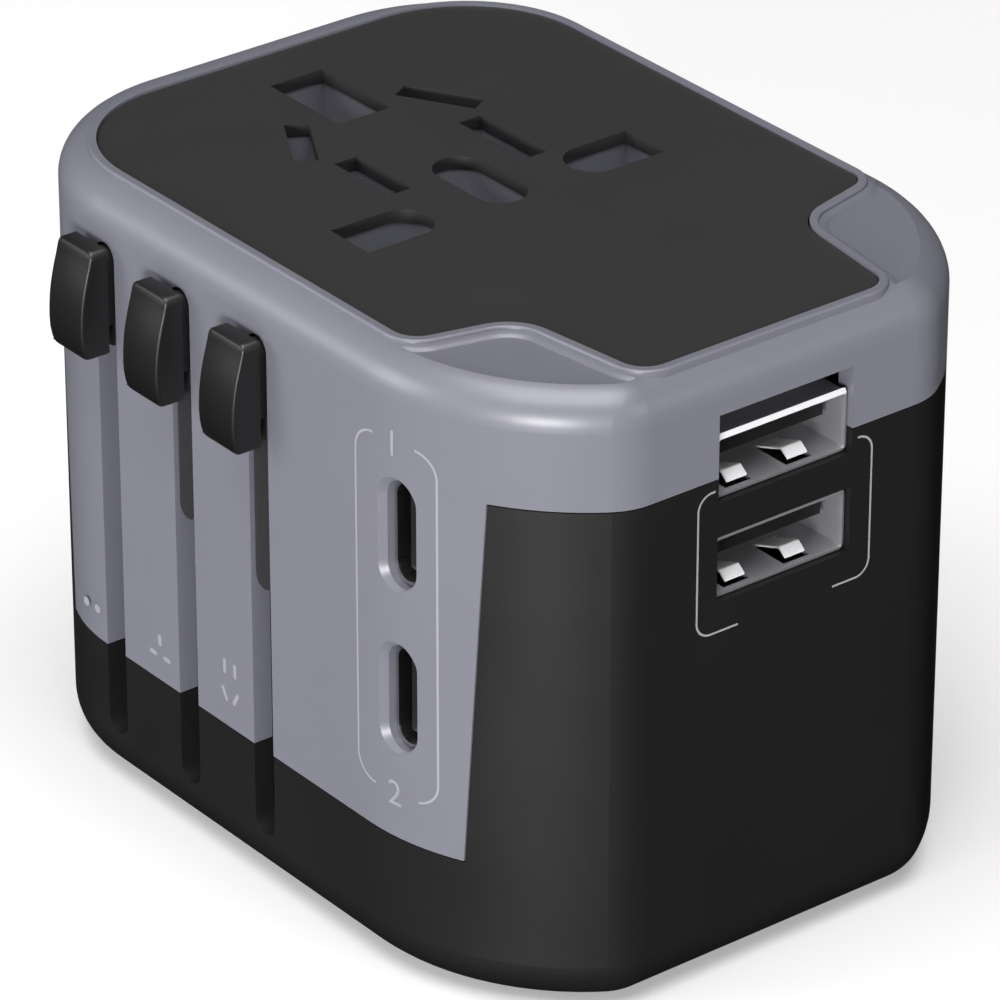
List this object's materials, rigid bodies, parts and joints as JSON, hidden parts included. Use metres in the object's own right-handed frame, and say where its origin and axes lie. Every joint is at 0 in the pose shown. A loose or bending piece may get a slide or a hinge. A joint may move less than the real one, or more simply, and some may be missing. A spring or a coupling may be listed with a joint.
{
  "type": "travel adapter",
  "caption": "Universal travel adapter: two-tone case with a mixed mains socket, USB-A and USB-C ports, and sliding round-pin, flat-pin and turning-blade plugs.",
  "frame": {"origin": "middle of the case's plan, on the flat underside that the plugs come out of", "axes": "+Z out of the socket face; -Y is the face with the knobs and USB-C ports; +X is the USB-A face"},
  "size_m": [0.071, 0.0559, 0.055],
  "materials": {
    "shell_grey": "satin moulded polycarbonate, bluish grey",
    "shell_black": "satin moulded polycarbonate, black",
    "plate_black": "fine matt moulded plastic, soft black",
    "moulding_grey": "satin moulded plastic, grey",
    "shutter_grey": "smooth acetal, grey",
    "carriage_black": "smooth nylon, black",
    "knob_black": "satin moulded plastic, black",
    "pin_metal": "nickel-plated brass, satin",
    "sleeve_black": "moulded insulating sleeve, black",
    "contact_brass": "rolled brass sheet",
    "spring_steel": "drawn spring wire",
    "port_steel": "nickel-plated folded steel sheet",
    "port_black": "moulded thermoplastic, black",
    "board_green": "solder-masked circuit board",
    "transformer_core": "ferrite core and taped winding",
    "can_aluminium": "sleeved aluminium can",
    "fuse_ceramic": "glazed ceramic tube",
    "fuse_metal": "plated end caps",
    "screw_steel": "zinc-plated steel"
  },
  "bodies": {
    "case": {"lower_shell": "shell_black", "upper_shell": "shell_grey", "top_plate": "plate_black", "socket_guide": "moulding_grey", "contact_carrier": "moulding_grey", "contact_left": "contact_brass", "contact_right": "contact_brass", "contact_earth": "contact_brass", "shutter_spring_left": "spring_steel", "shutter_spring_right": "spring_steel", "charger_board": "board_green", "transformer": "transformer_core", "capacitor": "can_aluminium", "usb_a_shell_lower": "port_steel", "usb_a_tongue_lower": "port_black", "usb_a_shell_upper": "port_steel", "usb_a_tongue_upper": "port_black", "usb_c_shell_lower": "port_steel", "usb_c_tongue_lower": "port_black", "usb_c_shell_upper": "port_steel", "usb_c_tongue_upper": "port_black", "fuse": "fuse_ceramic", "fuse_cap_low": "fuse_metal", "fuse_cap_high": "fuse_metal", "fuse_spring": "spring_steel", "case_screw_1": "screw_steel", "case_screw_2": "screw_steel", "case_screw_3": "screw_steel"},
    "eu_slider": {"eu_carriage": "carriage_black", "eu_pin_left": "pin_metal", "eu_pin_right": "pin_metal", "eu_sleeve_left": "sleeve_black", "eu_sleeve_right": "sleeve_black", "eu_knob_spring": "spring_steel"},
    "uk_slider": {"uk_carriage": "carriage_black", "uk_pin_earth": "pin_metal", "uk_pin_left": "pin_metal", "uk_pin_right": "pin_metal", "uk_sleeve_left": "sleeve_black", "uk_sleeve_right": "sleeve_black", "uk_knob_spring": "spring_steel"},
    "us_slider": {"us_carriage": "carriage_black", "us_knob_spring": "spring_steel"},
    "us_blade_left_turner": {"us_blade_left": "pin_metal"},
    "us_blade_right_turner": {"us_blade_right": "pin_metal"},
    "eu_button": {"eu_knob": "knob_black"},
    "uk_button": {"uk_knob": "knob_black"},
    "us_button": {"us_knob": "knob_black"},
    "socket_shutter": {"shutter": "shutter_grey"},
    "fuse_door": {"fuse_lid": "shell_black"}
  },
  "joints": [
    {"name": "eu_plug_slide", "type": "slide", "parent": "case", "child": "eu_slider", "axis": [0, 0, -1], "range_m": [0, 0.0215]},
    {"name": "eu_knob_press", "type": "slide", "parent": "eu_slider", "child": "eu_button", "axis": [0, 1, 0], "range_m": [0, 0.0006], "stiffness_N_per_m": 600, "springref_m": -0.0008, "deforming": ["eu_knob_spring"]},
    {"name": "uk_plug_slide", "type": "slide", "parent": "case", "child": "uk_slider", "axis": [0, 0, -1], "range_m": [0, 0.0242]},
    {"name": "uk_knob_press", "type": "slide", "parent": "uk_slider", "child": "uk_button", "axis": [0, 1, 0], "range_m": [0, 0.0006], "stiffness_N_per_m": 600, "springref_m": -0.0008, "deforming": ["uk_knob_spring"]},
    {"name": "us_plug_slide", "type": "slide", "parent": "case", "child": "us_slider", "axis": [0, 0, -1], "range_m": [0, 0.0222]},
    {"name": "us_knob_press", "type": "slide", "parent": "us_slider", "child": "us_button", "axis": [0, 1, 0], "range_m": [0, 0.0006], "stiffness_N_per_m": 600, "springref_m": -0.0008, "deforming": ["us_knob_spring"]},
    {"name": "us_blade_left_turn", "type": "hinge", "parent": "us_slider", "child": "us_blade_left_turner", "pos_m": [0.012, -0.00635, 0.0052], "axis": [0, 0, 1], "range_deg": [-30, 0]},
    {"name": "us_blade_right_turn", "type": "hinge", "parent": "us_slider", "child": "us_blade_right_turner", "pos_m": [0.012, 0.00635, 0.0052], "axis": [0, 0, 1], "range_deg": [0, 30]},
    {"name": "shutter_slide", "type": "slide", "parent": "case", "child": "socket_shutter", "axis": [1, 0, 0], "range_m": [0, 0.006], "stiffness_N_per_m": 80, "springref_m": -0.003, "deforming": ["shutter_spring_left", "shutter_spring_right"]},
    {"name": "fuse_lid_turn", "type": "hinge", "parent": "case", "child": "fuse_door", "pos_m": [-0.012, 0.014, 0], "axis": [0, 0, 1], "range_deg": [0, 90]}
  ]
}
